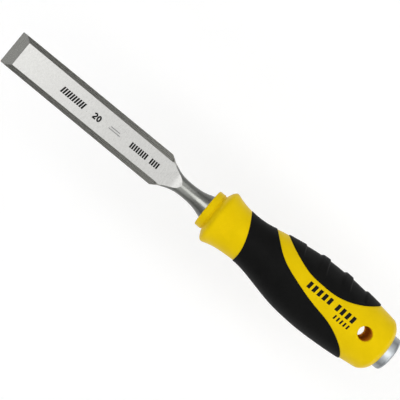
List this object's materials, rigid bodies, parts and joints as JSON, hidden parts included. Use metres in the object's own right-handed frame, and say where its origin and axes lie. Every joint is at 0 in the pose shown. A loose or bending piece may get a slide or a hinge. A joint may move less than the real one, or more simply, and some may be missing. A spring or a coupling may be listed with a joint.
{
  "type": "bench chisel",
  "caption": "Bench chisel with a bevel-edged blade, oval two-component handle, finger valleys, guard, hanging hole and steel strike cap.",
  "frame": {"origin": "on the floor plane z = 0 touched by the handle's lowest point, at mid length, in the vertical plane through the blade's centre line", "axes": "+X along the tool towards the cutting edge, +Y towards the palm side of the handle, +Z towards the bevelled face of the blade"},
  "size_m": [0.2552, 0.0392, 0.0343],
  "materials": {
    "blade_steel": "crosswise ground flat, darker satin bevels and neck",
    "yellow_plastic": "satin moulded hard plastic",
    "black_grip": "matt soft-touch moulding",
    "cap_steel": "turned and zinc plated"
  },
  "bodies": {
    "root": {"blade": "blade_steel", "handle_core": "yellow_plastic", "palm_grip": "black_grip", "finger_grip": "black_grip", "strike_cap": "cap_steel"}
  },
  "joints": []
}
